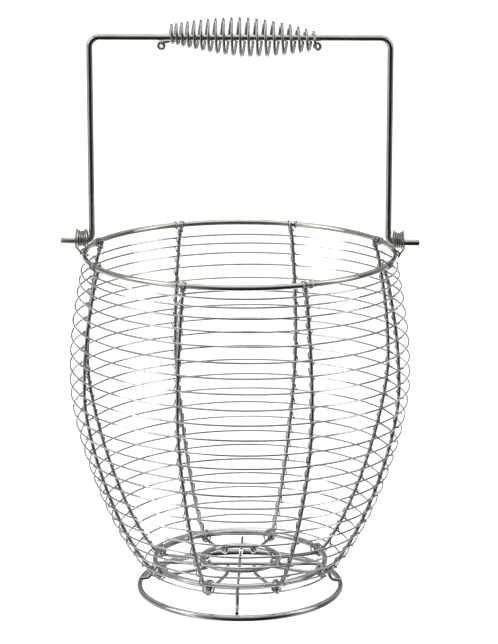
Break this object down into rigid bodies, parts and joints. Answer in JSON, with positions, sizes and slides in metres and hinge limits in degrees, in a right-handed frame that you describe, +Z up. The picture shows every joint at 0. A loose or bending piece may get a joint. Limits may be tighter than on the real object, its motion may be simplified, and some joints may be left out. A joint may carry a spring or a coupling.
{
  "type": "wire picking basket",
  "caption": "Round wire picking basket with bellied walls, a foot ring, and a swinging square bail whose bar turns in a barrel-shaped coil grip.",
  "frame": {"origin": "centre of the foot ring, on the ground", "axes": "+Z up, +X along the bail's pivot axis towards the right ear, -Y towards the front"},
  "size_m": [0.2872, 0.2752, 0.4709],
  "materials": {
    "heavy_wire": "polished",
    "rib_wire": "polished",
    "spiral_wire": "polished",
    "lashing_wire": "polished",
    "ear_wire": "polished",
    "bail_wire": "polished",
    "grip_wire": "polished"
  },
  "bodies": {
    "basket": {"rim_ring": "heavy_wire", "rib_1": "rib_wire", "rib_2": "rib_wire", "rib_3": "rib_wire", "rib_4": "rib_wire", "rib_5": "rib_wire", "rib_6": "rib_wire", "rib_7": "rib_wire", "rib_8": "rib_wire", "spiral_wire": "spiral_wire", "lashing_1": "lashing_wire", "lashing_2": "lashing_wire", "lashing_3": "lashing_wire", "lashing_4": "lashing_wire", "lashing_5": "lashing_wire", "lashing_6": "lashing_wire", "lashing_7": "lashing_wire", "lashing_8": "lashing_wire", "base_ring": "heavy_wire", "centre_ring": "heavy_wire", "cross_wire_side": "heavy_wire", "cross_wire_front": "heavy_wire", "foot_ring": "heavy_wire", "left_ear": "ear_wire", "right_ear": "ear_wire"},
    "bail": {"bail": "bail_wire"},
    "grip": {"grip_coil": "grip_wire"}
  },
  "joints": [
    {"name": "bail_swing", "type": "hinge", "parent": "basket", "child": "bail", "pos_m": [0, 0, 0.2916], "axis": [1, 0, 0], "range_deg": [-91, 91]},
    {"name": "grip_spin", "type": "hinge", "parent": "bail", "child": "grip", "pos_m": [0, 0, 0.4554], "axis": [1, 0, 0], "continuous": true}
  ]
}
